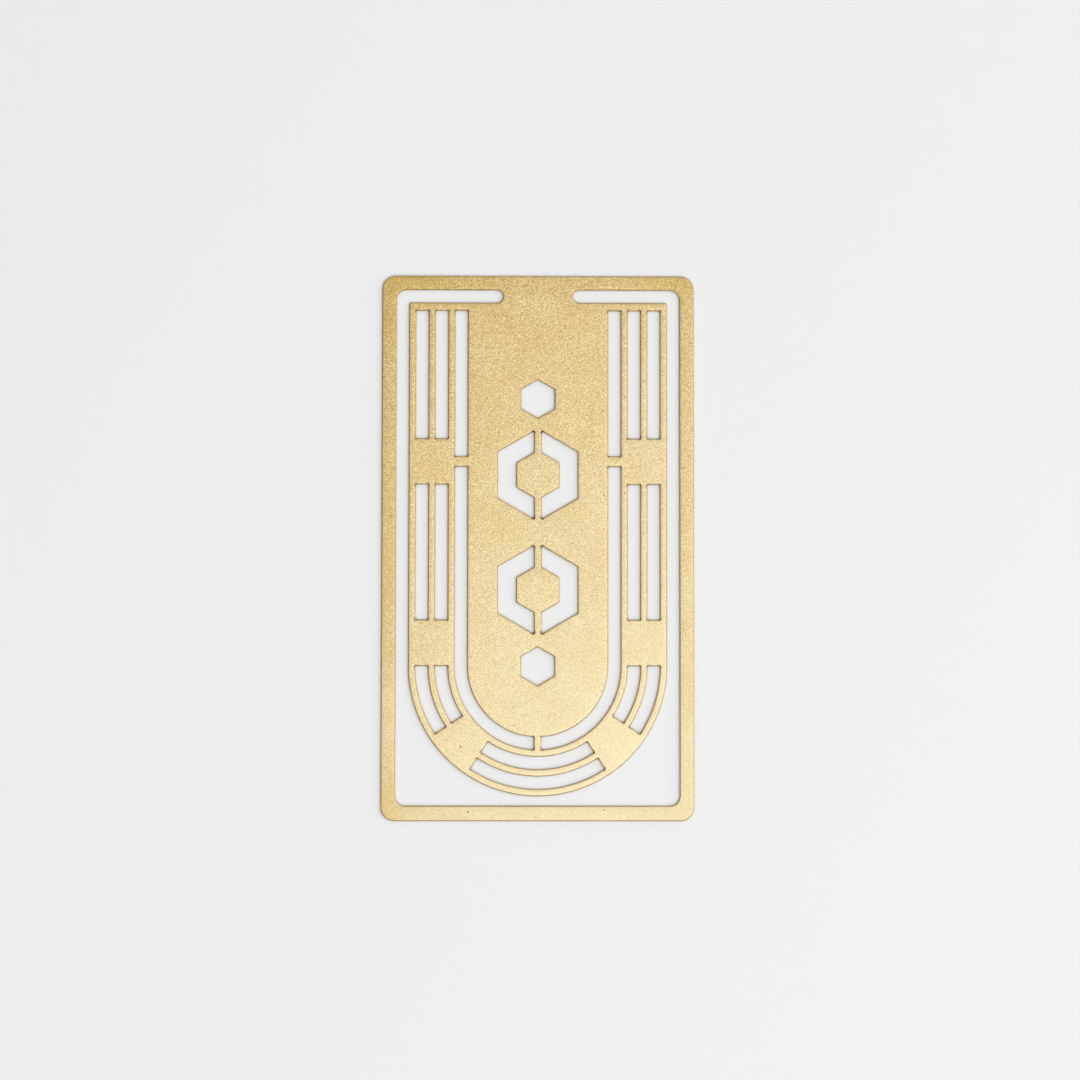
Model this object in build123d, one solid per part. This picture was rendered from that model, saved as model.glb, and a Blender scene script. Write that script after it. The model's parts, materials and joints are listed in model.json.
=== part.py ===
"""Flat brass page bookmark: a springy tongue cut into a slim frame.

Millimetres, +Z up. The back lies on Z = 0 with the origin at its centre. The tongue hangs from the
middle of the top rail, at +Y, and its round end points to -Y. The members are drawn as one sheet
with everything that is cut out of it, and then parted along lines that cross their rims squarely.
"""

import os

from build123d import *

# Sheet
sheet_thickness = 0.4
sheet_corner_radius = 2.2
etch_radius = 0.12

# Frame
rail_width = 2.4
bottom_rail_width = 2.5
opening_corner_radius = 1.6

# Gaps between the frame and the tongue
side_gap = 2.0
end_gap = 1.5

# Neck that the tongue hangs from
neck_width = 11.5

# Row of hexagons in the blade
hole_across_flats = 5.4
island_across_flats = 7.1
island_corner_radius = 0.25
window_slot_width = 2.95
window_margin = 5.0
hole_web = 1.83
window_web = 3.74
bridge_width = 1.3

# Ladder round the blade
bar_count = 3
bar_width = 1.2
slot_width = 2.0
crossbar_height = 1.4
upper_slot_length = 20.9
lower_slot_length = 22.0
block_height = 7.6
side_tab_height = 1.8
side_arc_angle = 33.2
end_arc_angle = 66.4
tongue_corner_radius = 0.35

# Widths, from the middle outwards
window_across_flats = island_across_flats + 2 * window_slot_width
blade_radius = window_across_flats / 2 + window_margin
rim_inner_radius = blade_radius + slot_width
ladder_pitch = slot_width + bar_width
tongue_radius = blade_radius + bar_count * ladder_pitch
opening_width = 2 * (tongue_radius + side_gap)
sheet_width = opening_width + 2 * rail_width
ladder_slot_radii = [rim_inner_radius + bar_width + n * ladder_pitch for n in range(bar_count - 1)]

# Heights, from the top edge down
straight_length = crossbar_height + upper_slot_length + lower_slot_length + 2 * block_height
opening_height = side_gap + straight_length + tongue_radius + end_gap
sheet_height = rail_width + opening_height + bottom_rail_width
sheet_top = sheet_height / 2
opening_top = sheet_top - rail_width
opening_bottom = opening_top - opening_height
tongue_top = opening_top - side_gap
slots_top = tongue_top - crossbar_height
upper_block_top = slots_top - upper_slot_length
lower_slots_top = upper_block_top - block_height
lower_block_top = lower_slots_top - lower_slot_length
round_centre = lower_block_top - block_height

# Side tab, level with the middle of the upper block
side_tab_top = upper_block_top - (block_height - side_tab_height) / 2
side_tab_bottom = side_tab_top - side_tab_height

# Lines where one member ends and the next begins
neck_line = tongue_top + side_gap / 2
neck_side = (neck_width + side_gap) / 2
strip_end = opening_width / 2 - opening_corner_radius
blade_seam_radius = blade_radius + slot_width / 2
ladder_end = lower_block_top - block_height / 2

# Hexagon centres, up from the middle of the round end
flats_to_corners_share = 2 / 3**0.5
hole_to_window = (hole_across_flats + window_across_flats) * flats_to_corners_share / 2 + hole_web
window_to_window = window_across_flats * flats_to_corners_share + window_web
lower_window_y = round_centre + hole_to_window
upper_window_y = lower_window_y + window_to_window
hole_places = [round_centre, upper_window_y + hole_to_window]
window_places = [lower_window_y, upper_window_y]


def area(left, right, bottom, top):
    """Rectangle between two uprights and two levels."""
    return Pos(left, bottom) * Rectangle(right - left, top - bottom, align=Align.MIN)


def mirrored(shape):
    """The same shape on the other side of the sheet."""
    return mirror(shape, about=Plane.YZ)


def etched(cut):
    """The same cut, with its corners rounded by the etching."""
    return fillet(cut.vertices(), etch_radius)


def u_shape(radius, top):
    """Upright strip with a half-round lower end, about the tongue's round centre."""
    half_round = Pos(0, round_centre) * Circle(radius)
    half_round -= area(-opening_width / 2, opening_width / 2, round_centre, opening_top)
    return area(-radius, radius, round_centre, top) + half_round


def hexagon(across_flats):
    """Hexagon with its corners up and down."""
    return RegularPolygon(across_flats / 2, side_count=6, major_radius=False, rotation=90)


def corners_by_reach(cut):
    """Corners of a cut, in groups by how far they lie to either side of its middle."""
    return cut.vertices().group_by(lambda corner: abs(corner.X))


def ring_window():
    """Pair of slots round a hexagonal island, which keeps a bridge above and below."""
    bridge = Rectangle(bridge_width, window_across_flats * flats_to_corners_share)
    slots = hexagon(window_across_flats) - hexagon(island_across_flats) - bridge
    slots = fillet(corners_by_reach(slots)[1], island_corner_radius)
    beside_bridge, *_, outermost = corners_by_reach(slots)
    return fillet(beside_bridge + outermost, etch_radius)


def upright_slot(inner, bottom, top):
    """Straight slot whose inner long edge is given."""
    return etched(area(inner, inner + slot_width, bottom, top))


def curved_slot(inner, middle_angle, span):
    """Slot round the tongue's round end."""
    reach = 2 * (inner + slot_width)
    tips = [Vector(reach, 0).rotate(Axis.Z, middle_angle + side * span / 2) for side in (-1, 1)]
    wedge = Polygon((0, 0), *tips, align=None)
    return Pos(0, round_centre) * etched((Circle(inner + slot_width) - Circle(inner)) & wedge)


def hooked_slot():
    """Slot that follows the blade's edge from the side tab round to the tab at its end."""
    slot = u_shape(rim_inner_radius, side_tab_bottom) - u_shape(blade_radius, side_tab_top)
    slot &= area(bridge_width / 2, rim_inner_radius, opening_bottom, side_tab_bottom)
    corners = slot.vertices().sort_by(Axis.Y)
    return fillet(corners[:2] + corners[-2:], etch_radius)


def right_slots():
    """All the slots on the right of the blade."""
    slots = [upright_slot(blade_radius, side_tab_top, slots_top), hooked_slot()]
    for inner in ladder_slot_radii:
        slots.append(upright_slot(inner, upper_block_top, slots_top))
        slots.append(upright_slot(inner, lower_block_top, lower_slots_top))
        slots.append(curved_slot(inner, -side_arc_angle / 2, side_arc_angle))
    return slots


def web():
    """Web of the neck, between the round ends of the two slots beside it."""
    strip = area(-neck_side, neck_side, tongue_top, opening_top)
    for side in (-1, 1):
        strip -= Pos(side * neck_side, neck_line) * Circle(side_gap / 2)
    return strip


def frame():
    """Slim frame round the tongue."""
    outline = RectangleRounded(sheet_width, sheet_height, sheet_corner_radius)
    opening = RectangleRounded(opening_width, opening_height, opening_corner_radius)
    return outline - Pos(0, opening_bottom + opening_height / 2) * opening


def tongue():
    """Round-ended tongue and its web, with everything that is cut out of them."""
    plate = u_shape(tongue_radius, tongue_top)
    plate = fillet(plate.vertices().sort_by(Axis.Y)[-2:], tongue_corner_radius) + web()
    for place in hole_places:
        plate -= Pos(0, place) * etched(hexagon(hole_across_flats))
    for place in window_places:
        plate -= Pos(0, place) * ring_window()
    for slot in right_slots():
        plate -= slot
        plate -= mirrored(slot)
    for inner in ladder_slot_radii:
        plate -= curved_slot(inner, -90, end_arc_angle)
    return plate


frame_band = frame()
tongue_plate = tongue()
blade_region = u_shape(blade_seam_radius, neck_line)
right_rail = frame_band & area(strip_end, sheet_width / 2, -sheet_top, sheet_top)
right_strip = frame_band & area(neck_side, strip_end, 0, sheet_top)
right_ladder = tongue_plate & area(blade_seam_radius, tongue_radius, ladder_end, tongue_top)

members = {
    "bottom_rail": frame_band & area(-strip_end, strip_end, -sheet_top, 0),
    "left_rail": mirrored(right_rail),
    "right_rail": right_rail,
    "left_torsion_strip": mirrored(right_strip),
    "right_torsion_strip": right_strip,
    "neck": (frame_band + web()) & area(-neck_side, neck_side, neck_line, sheet_top),
    "blade": tongue_plate & blade_region,
    "left_ladder": mirrored(right_ladder),
    "right_ladder": right_ladder,
    "end_ladder": (tongue_plate & u_shape(tongue_radius, ladder_end)) - blade_region,
}

os.makedirs("parts", exist_ok=True)
for name, member in members.items():
    export_step(extrude(member, amount=sheet_thickness, dir=(0, 0, 1)), f"parts/{name}.step")
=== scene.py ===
"""Looks of the brass page bookmark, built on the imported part. Metres, in the part's own frame.

Each CAD member gets one piece. Its outline is read from the frame, and its edges get the rounded
rim, the etched wall and the slight waver that etching leaves. One procedural brass covers them all.
"""

import json
import math

import bmesh
import bpy
import numpy as np
from mathutils import Euler, Matrix, Vector, noise
from mathutils.geometry import delaunay_2d_cdt


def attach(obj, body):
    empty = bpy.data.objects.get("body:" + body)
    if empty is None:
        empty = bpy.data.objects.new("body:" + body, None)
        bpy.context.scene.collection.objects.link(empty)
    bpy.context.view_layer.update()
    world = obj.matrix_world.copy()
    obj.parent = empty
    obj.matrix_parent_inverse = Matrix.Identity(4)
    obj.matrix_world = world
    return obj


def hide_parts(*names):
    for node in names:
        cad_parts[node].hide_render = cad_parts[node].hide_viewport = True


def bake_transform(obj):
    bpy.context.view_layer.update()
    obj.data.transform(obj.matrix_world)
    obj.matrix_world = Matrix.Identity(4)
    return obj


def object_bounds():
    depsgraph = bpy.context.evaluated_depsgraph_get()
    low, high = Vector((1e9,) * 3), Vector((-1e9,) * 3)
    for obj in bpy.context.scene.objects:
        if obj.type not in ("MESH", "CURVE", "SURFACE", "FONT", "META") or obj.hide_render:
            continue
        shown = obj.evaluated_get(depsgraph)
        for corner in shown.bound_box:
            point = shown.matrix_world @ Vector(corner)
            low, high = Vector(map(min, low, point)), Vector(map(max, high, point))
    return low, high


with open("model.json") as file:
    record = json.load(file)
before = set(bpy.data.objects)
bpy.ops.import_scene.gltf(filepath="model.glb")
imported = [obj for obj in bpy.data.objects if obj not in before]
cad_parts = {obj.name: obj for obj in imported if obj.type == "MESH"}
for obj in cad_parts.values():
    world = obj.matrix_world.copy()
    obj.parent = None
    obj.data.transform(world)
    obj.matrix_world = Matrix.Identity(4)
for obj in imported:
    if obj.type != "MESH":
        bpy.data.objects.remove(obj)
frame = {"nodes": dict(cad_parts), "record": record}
cad_low, cad_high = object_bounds()

# Outlines are worked on in millimetres, and become metres as their vertices are made
MM = 0.001

# Sheet
half_thickness = (cad_high.z - cad_low.z) / 2 / MM
middle_height = (cad_high.z + cad_low.z) / 2 / MM

# Reading the outlines: what counts as one point, as a front face and as a seam
weld_distance = 0.0002
front_slope_share = 0.5
seam_reach = 0.02

# Etched edge, from the ridge at mid thickness over a hollow and a steep wall to the rounded lip
edge_inset = 0.2
edge_height_share = 0.86
edge_steepness = 2.6
edge_shares = np.array([0, 0.22, 0.38, 0.52, 0.66, 0.82, 1])
edge_height = edge_height_share * half_thickness
edge_climb = edge_shares**edge_steepness
edge_climb /= edge_climb + (1 - edge_shares) ** edge_steepness
edge_profile = list(zip(edge_inset * edge_shares, edge_height * edge_climb))

# Soft roll of both faces towards the rims
roll_length = 0.22
roll_drop = half_thickness - edge_height
roll_insets = [0.32, 0.48, 0.8]

# Waver of the etched rims: depth and length of its long and short waves
waver_waves = [(0.026, 3.1), (0.012, 0.9)]

# Nooks, where a rim turns tightly round a corner of a cut, get painted shade: how far they reach,
# and the turn in radians at which they start and are full
nook_reach = 0.4
nook_start = 0.8
nook_full = 2.0

# Spacing of the points along rims and arcs, and over the flat
rim_step = 0.45
arc_step = math.radians(12)
straight_ratio = 2.5
ring_spacing = 0.13
ring_clearance_share = 0.97
seam_clearance = 0.12
seam_reach_share = 0.45
flat_step = 1.6
flat_margin = 0.9
triangulation_weld = 0.00001
triangles_within_outlines = 1

# Camera, from the photograph's perspective
camera_eye = Vector((-5.305, -21.416, 449.43)) * MM
camera_target = Vector((0.358, 1.167, 0.4)) * MM
camera_up = Vector((-0.00128, 1, 0))
camera_lens = 91.94
camera_sensor = 36.0

# Softboxes, each with its azimuth and elevation in degrees and its power
softboxes = {"key": (6, 36, 9.0), "fill": (-96, 58, 6.0), "top": (-45, 80, 4.2)}
softbox_distance = 1.3
softbox_size = 1.6

# Room: overhead, and at the horizon on its light and its dim side
overhead_colour = (0.327, 0.33, 0.33, 1.0)
light_horizon = (0.75, 0.76, 0.765, 1.0)
dim_horizon = (0.1, 0.1, 0.1, 1.0)
light_side = (0.7, 0.7, 0.0)
light_side_reach = 0.7
horizon_power = 1.3

# Floor
floor_size = 20.0
floor_gap = 0.13 * MM
floor_colour = (0.915, 0.926, 0.926, 1.0)
floor_roughness = 0.85

# Brass: pale to deep along a painted gradient of sheen and shade, darker on its walls and where it was
# pitted
brass_pale = (0.875, 0.75, 0.481, 1.0)
brass_deep = (0.667, 0.457, 0.137, 1.0)
# Walls: partly oxide, partly painted shade along the edges
brass_wall = (0.58, 0.38, 0.15, 1.0)
brass_pit = (0.353, 0.191, 0.065, 1.0)
# Near black in nooks: painted shade in tight corners
brass_nook = (0.06, 0.032, 0.014, 1.0)
# Painted light gradient, pale as painted sheen to the lower right and deep as painted shade to the
# upper left: its way, where it starts and where it is full
tarnish_way = (-0.5, 0.85, 0.0)
tarnish_start = -39.0
tarnish_full = 80.6
# Tarnished blotches: their size and share
tarnish_blotch_size = 7.0
tarnish_blotch_share = 0.077

# Deeper, darker border along the outer edge of the sheet: where it is full and gone, and how strong it
# is
border_full = 2.2
border_gone = 4.4
border_depth_share = 0.11
border_tone_share = 0.035

# Stains where the sheet is handled, each with its place, half sizes and depth
stains = [
    (-25.5, 44.5, 10, 13, 0.12),
    (25.5, 44.5, 10, 9, 0.2),
    (-25.5, -44.5, 8, 13, 0.38),
    (-25.5, -8, 5, 24, 0.13),
    (25.5, -22, 5, 18, 0.13),
    (0, 44.5, 9, 8, -0.2),
    (0, 12, 6, 6, -0.12),
]
stain_softness = 1

# Browner, darker walls, partly oxide and partly painted shade along the edges: upright share of
# the normal where they are full and start, and its unevenness
wall_full = 0.66
wall_start = 0.99
wall_uneven = 0.2

# Grain of the rolled and pickled faces
grain_size = 0.24
grain_stretch = (1, 1.35, 1)
grain_share_pale = 0.085
grain_share_deep = 0.385
# Paler bright grains and deeper dark ones: painted sparkle
grain_paling = 1.15
grain_bump = 0.01 * MM
speck_size = 0.12
speck_detail = 1.0
roughness_low = 0.5
roughness_high = 0.56

# Ranges that one noise, and the sum of grains and specks, mostly keep to
noise_low = 0.3
noise_high = 0.7
relief_low = 0.7
relief_high = 1.3

# Pits and a scratch, each with its place and half sizes, and a scatter of smaller pits
flaws = [
    (-12.5, -32.5, 0.22, 0.22),
    (14.3, -23.9, 0.24, 0.2),
    (6.4, -28.9, 0.18, 0.2),
    (-11.3, -43.0, 0.22, 0.18),
    (23.7, 13.0, 0.55, 0.1),
]
flaw_softness = 0.5
scatter_spacing = 3.6
scatter_radius = 0.16
scatter_rarity = 0.6


def place(point, height):
    """Point of an outline and a height above the middle plane, as a place in the part's frame."""
    return Vector((point[0], point[1], middle_height + height)) * MM


def runs_of(points):
    """Straight runs from each point of a closed outline to the next."""
    return np.stack([points, np.roll(points, -1, axis=0)], axis=1)


def distances(points, runs):
    """Shortest distance from each point to any of the runs."""
    start = runs[:, 0]
    along = runs[:, 1] - start
    offset = points[:, None] - start
    share = np.clip((offset * along).sum(2) / (along**2).sum(1), 0, 1)
    return np.linalg.norm(offset - share[..., None] * along, axis=2).min(1)


def inside(points, runs):
    """Whether each point lies inside closed outlines, from the runs that it has on its right."""
    x, y = points[:, None, 0], points[:, None, 1]
    (x0, y0), (x1, y1) = runs[:, 0].T, runs[:, 1].T
    crosses = (y0 > y) != (y1 > y)
    with np.errstate(divide="ignore", invalid="ignore"):
        on_right = x < x0 + (y - y0) * (x1 - x0) / (y1 - y0)
    return (crosses & on_right).sum(1) % 2 == 1


def read_outlines(node):
    """Outlines of a CAD member's front face, each a loop of points with the brass on its left."""
    mesh = bmesh.new()
    mesh.from_mesh(frame["nodes"][node].data)
    bmesh.ops.remove_doubles(mesh, verts=mesh.verts, dist=weld_distance * MM)
    mesh.normal_update()
    following = {}
    for face in mesh.faces:
        for corner in face.loops:
            across = corner.link_loop_radial_next.face
            if face.normal.z > front_slope_share > across.normal.z:
                following[corner.vert] = corner.link_loop_next.vert
    found = []
    while following:
        vert = next(iter(following))
        points = []
        while vert in following:
            points.append(vert.co.xy / MM)
            vert = following.pop(vert)
        found.append(np.array(points))
    mesh.free()
    return found


def eaten(point, inward):
    """Point of a rim, moved in as far as the etching has eaten past the outline."""
    spot = Vector((point[0], point[1], 0))
    waves = [depth * (1 + noise.noise(spot / length)) / 2 for depth, length in waver_waves]
    return point + sum(waves) * inward


def face_height(distance):
    """Height of the front above the middle plane, at a distance in from the nearest rim."""
    return half_thickness - roll_drop * np.exp((edge_inset - distance) / roll_length)


def rim_tangents(ways, lengths, closed):
    """Directions at a rim's points: along a straight that ends there, or midway along an arc."""
    if closed:
        before, after = np.roll(ways, 1, axis=0), ways
        length_before, length_after = np.roll(lengths, 1), lengths
    else:
        before, after = np.vstack([ways[:1], ways]), np.vstack([ways, ways[-1:]])
        length_before, length_after = np.r_[lengths[:1], lengths], np.r_[lengths, lengths[-1:]]
    tangents = before + after
    leaves_straight = length_before > straight_ratio * length_after
    enters_straight = length_after > straight_ratio * length_before
    tangents[leaves_straight] = before[leaves_straight]
    tangents[enters_straight] = after[enters_straight]
    return tangents / np.linalg.norm(tangents, axis=1)[:, None]


def smooth_rim(points, closed):
    """Points and inward directions along a rim, with arcs rounded out and straights divided."""
    ends = np.roll(points, -1, axis=0) if closed else points[1:]
    starts = points if closed else points[:-1]
    lengths = np.linalg.norm(ends - starts, axis=1)
    tangents = rim_tangents((ends - starts) / lengths[:, None], lengths, closed)
    rim = []
    for n, (start, end, length) in enumerate(zip(starts, ends, lengths)):
        first, last = tangents[n], tangents[(n + 1) % len(tangents)]
        turn = math.acos(min(1, first @ last))
        count = math.ceil(max(length / rim_step, turn / arc_step))
        for s in np.arange(count) / count:
            point = start * (1 + 2 * s) * (1 - s) ** 2 + end * s * s * (3 - 2 * s)
            point = point + length * (first * s * (1 - s) ** 2 - last * s * s * (1 - s))
            way = (end - start) * 6 * s * (1 - s)
            way = way + length * (first * (1 - s) * (1 - 3 * s) + last * s * (3 * s - 2))
            rim.append((point, way))
    if not closed:
        rim.append((points[-1], tangents[-1]))
    return [(point, np.array([-way[1], way[0]]) / np.linalg.norm(way)) for point, way in rim]


def nook_depths(rim, closed):
    """How far each point of a rim lies in a tight corner of a cut, from 0 to 1."""
    points = np.array([point for point, inward in rim])
    inwards = np.array([inward for point, inward in rim])
    following = np.roll(inwards, -1, axis=0)
    sines = inwards[:, 1] * following[:, 0] - inwards[:, 0] * following[:, 1]
    turns = np.arcsin(np.clip(sines, -1, 1))
    turns[-1] *= closed
    away = np.linalg.norm(points[:, None] - points, axis=2)
    turned = (np.clip(1 - away / nook_reach, 0, 1) * turns).sum(axis=1)
    return np.clip((turned - nook_start) / (nook_full - nook_start), 0, 1)


def split_outline(outline, is_seam):
    """Rims of an outline in order, and whether it has no seam, so that its one rim is closed."""
    if not is_seam.any():
        return [smooth_rim(outline, True)], True
    first = next(n for n in range(len(outline)) if is_seam[n - 1] and not is_seam[n])
    outline, is_seam = np.roll(outline, -first, axis=0), np.roll(is_seam, -first)
    rims, current = [], [outline[0]]
    for n in range(len(outline)):
        next_n = (n + 1) % len(outline)
        if not is_seam[n]:
            current.append(outline[next_n])
        elif current:
            rims.append(smooth_rim(np.array(current), False))
            current = []
        if is_seam[n] and not is_seam[next_n]:
            current = [outline[next_n]]
    for n, rim in enumerate(rims):
        next_rim = rims[(n + 1) % len(rims)]
        across = next_rim[0][0] - rim[-1][0]
        across = across / np.linalg.norm(across)
        rim[-1] = (rim[-1][0], across)
        next_rim[0] = (next_rim[0][0], -across)
    return rims, False


def add_object(name, data):
    """New object in the scene."""
    made = bpy.data.objects.new(name, data)
    bpy.context.scene.collection.objects.link(made)
    return made


def add_mesh(name, mesh, material):
    """New object in one material, from a mesh that isn't needed after it."""
    data = bpy.data.meshes.new(name)
    mesh.to_mesh(data)
    mesh.free()
    data.materials.append(material)
    return add_object(name, data)


class Member:
    """Mesh of one member of the sheet, with its outlines read from the frame."""

    def __init__(self, node, outlines, other_runs):
        self.node = node
        self.mesh = bmesh.new()
        # Depth of each vertex in a nook, which gets painted shade
        self.nook = self.mesh.verts.layers.float.new("nook")
        self.pairs = []
        self.points = []
        self.borders = []
        self.rim_samples = []
        self.rim_runs = []
        self.seam_runs = []
        self.outline_runs = np.concatenate([runs_of(outline) for outline in outlines])
        for outline in outlines:
            middles = runs_of(outline).mean(axis=1)
            self.add_outline(outline, distances(middles, other_runs) < seam_reach)
        self.add_inner_points()
        self.fill_faces()

    def pair(self, point, height, column=None):
        """Front and back vertex over one point, from a column down the edge or made new."""
        column = column or [self.mesh.verts.new(place(point, h)) for h in (height, -height)]
        self.pairs.append((column[0], column[-1]))
        self.points.append(point)
        return len(self.pairs) - 1

    def add_rim(self, rim, closed):
        """Band of faces down the edge along a rim: rounded front, etched wall, rounded back."""
        section = edge_profile[::-1] + [(inset, -height) for inset, height in edge_profile[1:]]
        samples = [(eaten(point, inward), inward) for point, inward in rim]
        columns = []
        for (point, inward), depth in zip(samples, nook_depths(rim, closed)):
            columns.append([self.mesh.verts.new(place(point + d * inward, h)) for d, h in section])
            for vert in columns[-1]:
                vert[self.nook] = depth
        next_columns = columns[1:] + columns[:1] if closed else columns[1:]
        for a, b in zip(columns, next_columns):
            for k in range(len(section) - 1):
                self.mesh.faces.new([a[k], a[k + 1], b[k + 1], b[k]]).smooth = True
        line = np.array([point for point, inward in samples])
        self.rim_runs.append(runs_of(line) if closed else runs_of(line)[:-1])
        self.rim_samples += samples
        border = []
        for (point, inward), column in zip(samples, columns):
            border.append(self.pair(point + edge_inset * inward, edge_height, column))
        return border, columns

    def add_seam(self, start, end, column, next_column):
        """Flat end where the member meets its neighbour, from the end of one rim to the next."""
        length = np.linalg.norm(end - start)
        way = (end - start) / length
        near = [inset for inset in roll_insets if inset < seam_reach_share * length]
        stops = near + [length - inset for inset in near[::-1]]
        border = []
        for stop in stops:
            border.append(self.pair(start + stop * way, face_height(min(stop, length - stop))))
        fronts, backs = [self.pairs[n][0] for n in border], [self.pairs[n][1] for n in border]
        cap = self.mesh.faces.new(column + backs + next_column[::-1] + fronts[::-1])
        for edge in cap.edges:
            edge.smooth = False
        self.seam_runs.append(np.array([[start, end]]))
        return border

    def add_outline(self, outline, is_seam):
        """Edge bands and seams round one outline of the member."""
        rims, closed = split_outline(outline, is_seam)
        bands = [self.add_rim(rim, closed) for rim in rims]
        border = []
        for n, (band, columns) in enumerate(bands):
            border += band
            if not closed:
                next_n = (n + 1) % len(bands)
                start, end = eaten(*rims[n][-1]), eaten(*rims[next_n][0])
                border += self.add_seam(start, end, columns[-1], bands[next_n][1][0])
        self.borders.append(border)

    def add_inner_points(self):
        """Points over the faces: rings along the rims, where they roll off, and a wide grid."""
        rim_runs = np.concatenate(self.rim_runs)
        clear = []
        for inset in roll_insets:
            ring = np.array([point + inset * inward for point, inward in self.rim_samples])
            clear.append(ring[distances(ring, rim_runs) > inset * ring_clearance_share])
        low, high = self.outline_runs.min(axis=(0, 1)), self.outline_runs.max(axis=(0, 1))
        across, up = [np.arange(a, b, flat_step) for a, b in zip(low + flat_step / 2, high)]
        grid = np.array([(x, y) for y in up for x in across]).reshape(-1, 2)
        clear.append(grid[distances(grid, rim_runs) > flat_margin] if len(grid) else grid)
        points = np.concatenate(clear)
        points = points[inside(points, self.outline_runs)]
        if self.seam_runs:
            points = points[distances(points, np.concatenate(self.seam_runs)) > seam_clearance]
        cells = np.round(points / ring_spacing)
        points = points[np.sort(np.unique(cells, axis=0, return_index=True)[1])]
        for point, height in zip(points, face_height(distances(points, rim_runs))):
            self.pair(point, height)

    def fill_faces(self):
        """Front and back faces, triangulated alike."""
        edges = [ends for border in self.borders for ends in zip(border, border[1:] + border[:1])]
        flat = [Vector(point) for point in self.points]
        filled = delaunay_2d_cdt(flat, edges, [], triangles_within_outlines, triangulation_weld)
        triangles = np.array([[filled[3][n][0] for n in triangle] for triangle in filled[2]])
        points = np.array(self.points)
        border_runs = np.array([(points[a], points[b]) for a, b in edges])
        for corners in triangles[inside(points[triangles].mean(axis=1), border_runs)]:
            self.mesh.faces.new([self.pairs[n][0] for n in corners]).smooth = True
            self.mesh.faces.new([self.pairs[n][1] for n in corners[::-1]]).smooth = True

    def finish(self, material):
        """The member as an object that stands for its CAD node."""
        piece = add_mesh(f"etched_{self.node}", self.mesh, material)
        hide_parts(self.node)
        return piece


def add_node(tree, kind, inputs=None, **settings):
    """New shader node with its settings, and its inputs linked or set."""
    made = tree.nodes.new(kind)
    for name, value in settings.items():
        setattr(made, name, value)
    for name, value in (inputs or {}).items():
        if isinstance(value, bpy.types.NodeSocket):
            tree.links.new(value, made.inputs[name])
        else:
            made.inputs[name].default_value = value
    return made


def mix_colours(tree, share, first, second):
    """Colour between two others, by the numbers of the node's sockets for colours."""
    inputs = {0: share, 6: first, 7: second}
    return add_node(tree, "ShaderNodeMix", inputs, data_type="RGBA").outputs[2]


def ramp(tree, value, low, high, to_low=0.0, to_high=1.0):
    """Value taken from one range to another, and kept within it."""
    inputs = {"Value": value, "From Min": low, "From Max": high, "To Min": to_low, "To Max": to_high}
    return add_node(tree, "ShaderNodeMapRange", inputs).outputs[0]


def maths(tree, operation, first, second=0.0):
    """Sum, product or other function of one or two values."""
    return add_node(tree, "ShaderNodeMath", {0: first, 1: second}, operation=operation).outputs[0]


def add_share(tree, value, part, share):
    """Value with a share of another added to it."""
    return maths(tree, "ADD", value, maths(tree, "MULTIPLY", part, share))


def vector_maths(tree, operation, first, second=(0, 0, 0)):
    """Outputs of a function of one or two vectors: the first a vector, and Value a number."""
    inputs = {0: first, 1: second}
    return add_node(tree, "ShaderNodeVectorMath", inputs, operation=operation).outputs


def scaled(tree, vector, scale):
    """Vector or colour times a number."""
    inputs = {0: vector, "Scale": scale}
    return add_node(tree, "ShaderNodeVectorMath", inputs, operation="SCALE").outputs[0]


def separated(tree, vector):
    """The X, Y and Z of a vector."""
    return add_node(tree, "ShaderNodeSeparateXYZ", {0: vector}).outputs


def grain(tree, spot, size, detail=2.0):
    """Soft noise with grains of that size, in millimetres."""
    inputs = {"Vector": spot, "Scale": 1 / size, "Detail": detail}
    return add_node(tree, "ShaderNodeTexNoise", inputs).outputs[0]


def oval(tree, spot, centre, half_sizes, softness):
    """Soft-edged oval, from 0 at its rim to 1 within."""
    shrunk = vector_maths(tree, "DIVIDE", spot, half_sizes)[0]
    middle = [along / half for along, half in zip(centre, half_sizes)]
    away = vector_maths(tree, "DISTANCE", shrunk, middle)["Value"]
    return ramp(tree, away, 1, 1 - softness)


def make_pits(tree, spot):
    """Where the sheet is pitted, from 0 to 1: a scatter all over, and the flaws on its front."""
    inputs = {"Vector": spot, "Scale": 1 / scatter_spacing}
    cells = add_node(tree, "ShaderNodeTexVoronoi", inputs, voronoi_dimensions="2D").outputs
    chance = add_node(tree, "ShaderNodeSeparateColor", {0: cells["Color"]}).outputs[0]
    radius = scatter_radius / scatter_spacing
    reach = ramp(tree, chance, scatter_rarity, 1, 0, radius)
    within = maths(tree, "SUBTRACT", reach, cells["Distance"])
    pits = ramp(tree, within, 0, radius * flaw_softness)
    for x, y, half_x, half_y in flaws:
        half_sizes = (half_x, half_y, 2 * half_thickness)
        flaw = oval(tree, spot, (x, y, cad_high.z / MM), half_sizes, flaw_softness)
        pits = maths(tree, "MAXIMUM", pits, flaw)
    return pits


def make_border(tree, spot):
    """How near a place is to the outer edge of the sheet, from 0 to 1."""
    corner = (cad_high.x / MM, cad_high.y / MM, 0)
    outward = vector_maths(tree, "ABSOLUTE", spot)[0]
    inset = separated(tree, vector_maths(tree, "SUBTRACT", corner, outward)[0])
    return ramp(tree, maths(tree, "MINIMUM", inset["X"], inset["Y"]), border_gone, border_full)


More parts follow.
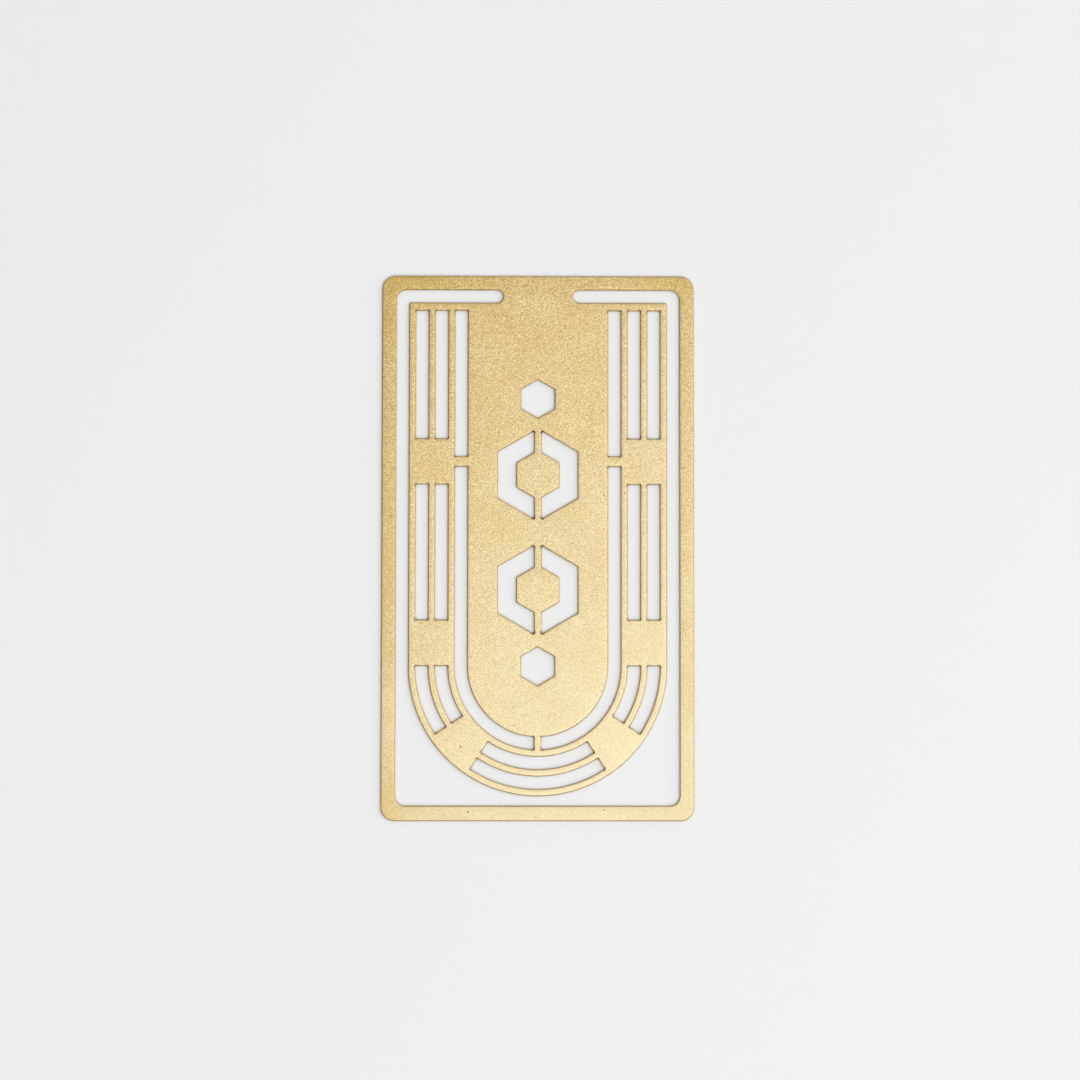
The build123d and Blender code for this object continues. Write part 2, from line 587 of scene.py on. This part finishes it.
def make_depth(tree, spot, tarnish, border, shade):
    """How deep the brass is: its painted light gradient, blotches, border and stains, with bright
    grains paled as painted sparkle.
    """
    blotches = grain(tree, spot, tarnish_blotch_size)
    blotches = ramp(tree, blotches, noise_low, noise_high, -tarnish_blotch_share, tarnish_blotch_share)
    depth = maths(tree, "ADD", tarnish, blotches)
    depth = add_share(tree, depth, border, border_depth_share)
    for x, y, half_x, half_y, share in stains:
        stain = oval(tree, spot, (x, y, 0), (half_x, half_y, half_x), stain_softness)
        depth = add_share(tree, depth, stain, share)
    # Bright grains paler, dark grains deeper: painted sparkle
    return add_share(tree, depth, shade, -grain_paling)


def make_brass():
    """Matte brass: grain, blotches, pits and browner walls, with painted light along the sheet and
    painted shade at edges and nooks.
    """
    material = bpy.data.materials.new("brass")
    material.use_nodes = True
    tree = material.node_tree
    where = add_node(tree, "ShaderNodeTexCoord").outputs
    spot = scaled(tree, where["Object"], 1 / MM)

    rolled = vector_maths(tree, "MULTIPLY", spot, grain_stretch)[0]
    grains = grain(tree, rolled, grain_size)
    specks = grain(tree, rolled, speck_size, speck_detail)
    relief = maths(tree, "ADD", grains, specks)

    # Painted light gradient: painted sheen towards the lower right, painted shade towards the upper
    # left
    along = vector_maths(tree, "DOT_PRODUCT", spot, tarnish_way)["Value"]
    tarnish = ramp(tree, along, tarnish_start, tarnish_full)
    border = make_border(tree, spot)
    strength = ramp(tree, tarnish, 0, 1, grain_share_pale, grain_share_deep)
    shade = ramp(tree, relief, relief_low, relief_high, -1, 1)
    shade = maths(tree, "MULTIPLY", shade, strength)

    depth = make_depth(tree, spot, tarnish, border, shade)
    colour = mix_colours(tree, depth, brass_pale, brass_deep)
    tone = maths(tree, "ADD", shade, ramp(tree, border, 0, 1, 1, 1 - border_tone_share))
    colour = scaled(tree, colour, tone)
    colour = mix_colours(tree, make_pits(tree, spot), colour, brass_pit)

    # Browner walls, partly oxide and partly painted shade along the edges
    upright = maths(tree, "ABSOLUTE", separated(tree, where["Normal"])["Z"])
    uneven = ramp(tree, grains, noise_low, noise_high, 0, wall_uneven)
    facing = ramp(tree, maths(tree, "ADD", upright, uneven), wall_full, wall_start)
    colour = mix_colours(tree, facing, brass_wall, colour)
    # Painted shade in the nooks of tight corners
    nook = add_node(tree, "ShaderNodeAttribute", attribute_name="nook").outputs["Fac"]
    colour = mix_colours(tree, nook, colour, brass_nook)

    roughness = ramp(tree, grains, noise_low, noise_high, roughness_high, roughness_low)
    inputs = {"Height": relief, "Strength": 1.0, "Distance": grain_bump}
    bump = add_node(tree, "ShaderNodeBump", inputs).outputs[0]
    shader = tree.nodes["Principled BSDF"]
    shader.inputs["Metallic"].default_value = 1.0
    for name, value in (("Base Color", colour), ("Roughness", roughness), ("Normal", bump)):
        tree.links.new(value, shader.inputs[name])
    return material


def make_floor():
    """Plain pale floor just under the sheet."""
    material = bpy.data.materials.new("floor")
    material.use_nodes = True
    shader = material.node_tree.nodes["Principled BSDF"]
    shader.inputs["Base Color"].default_value = floor_colour
    shader.inputs["Roughness"].default_value = floor_roughness
    mesh = bmesh.new()
    bmesh.ops.create_grid(mesh, x_segments=1, y_segments=1, size=floor_size / 2)
    floor = add_mesh("floor", mesh, material)
    floor.location.z = cad_low.z - floor_gap


def aim(thing, eye, target, up):
    """Places a lamp or camera at a point, looking at another."""
    back = (eye - target).normalized()
    right = up.cross(back).normalized()
    turned = Matrix((right, back.cross(right), back)).transposed().to_4x4()
    thing.matrix_world = Matrix.Translation(eye) @ turned


def make_softbox(name, azimuth, elevation, power):
    """Large square lamp that shines on the sheet from afar."""
    lamp = bpy.data.lights.new(name, "AREA")
    lamp.shape = "SQUARE"
    lamp.size = softbox_size
    lamp.energy = power
    turned = Euler((0, math.radians(-elevation), math.radians(azimuth))).to_matrix()
    eye = turned @ Vector((softbox_distance, 0, 0))
    aim(add_object(name, lamp), eye, Vector(), Vector((0, 0, 1)))


def make_world():
    """Plain room, with a light and a dim side low down."""
    world = bpy.data.worlds.new("studio")
    bpy.context.scene.world = world
    world.use_nodes = True
    tree = world.node_tree
    way = add_node(tree, "ShaderNodeTexCoord").outputs["Generated"]
    sideways = vector_maths(tree, "DOT_PRODUCT", way, light_side)["Value"]
    lightness = ramp(tree, sideways, -light_side_reach, light_side_reach)
    horizon = mix_colours(tree, lightness, dim_horizon, light_horizon)
    low = maths(tree, "POWER", ramp(tree, separated(tree, way)["Z"], 1, 0), horizon_power)
    colour = mix_colours(tree, low, overhead_colour, horizon)
    tree.links.new(colour, tree.nodes["Background"].inputs["Color"])


def make_camera():
    """Camera nearly square above the sheet, as the photograph was taken."""
    data = bpy.data.cameras.new("camera")
    data.lens = camera_lens
    data.sensor_width = camera_sensor
    camera = add_object("camera", data)
    aim(camera, camera_eye, camera_target, camera_up)
    bpy.context.scene.camera = camera


def make_sheet():
    """All the members of the sheet; each rides on its body, but the torsion strips stay in place."""
    brass = make_brass()
    outlines = {node: read_outlines(node) for node in frame["nodes"]}
    for body, nodes in frame["record"]["behaviour"]["bodies"].items():
        for node in nodes:
            others = [outline for other in outlines if other != node for outline in outlines[other]]
            other_runs = np.concatenate([runs_of(outline) for outline in others])
            piece = Member(node, outlines[node], other_runs).finish(brass)
            if "torsion_strip" not in node:
                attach(piece, body)
                continue
            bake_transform(piece)


make_camera()
make_sheet()
make_floor()
for name, (azimuth, elevation, power) in softboxes.items():
    make_softbox(name, azimuth, elevation, power)
make_world()
bpy.context.scene.view_settings.view_transform = "Standard"
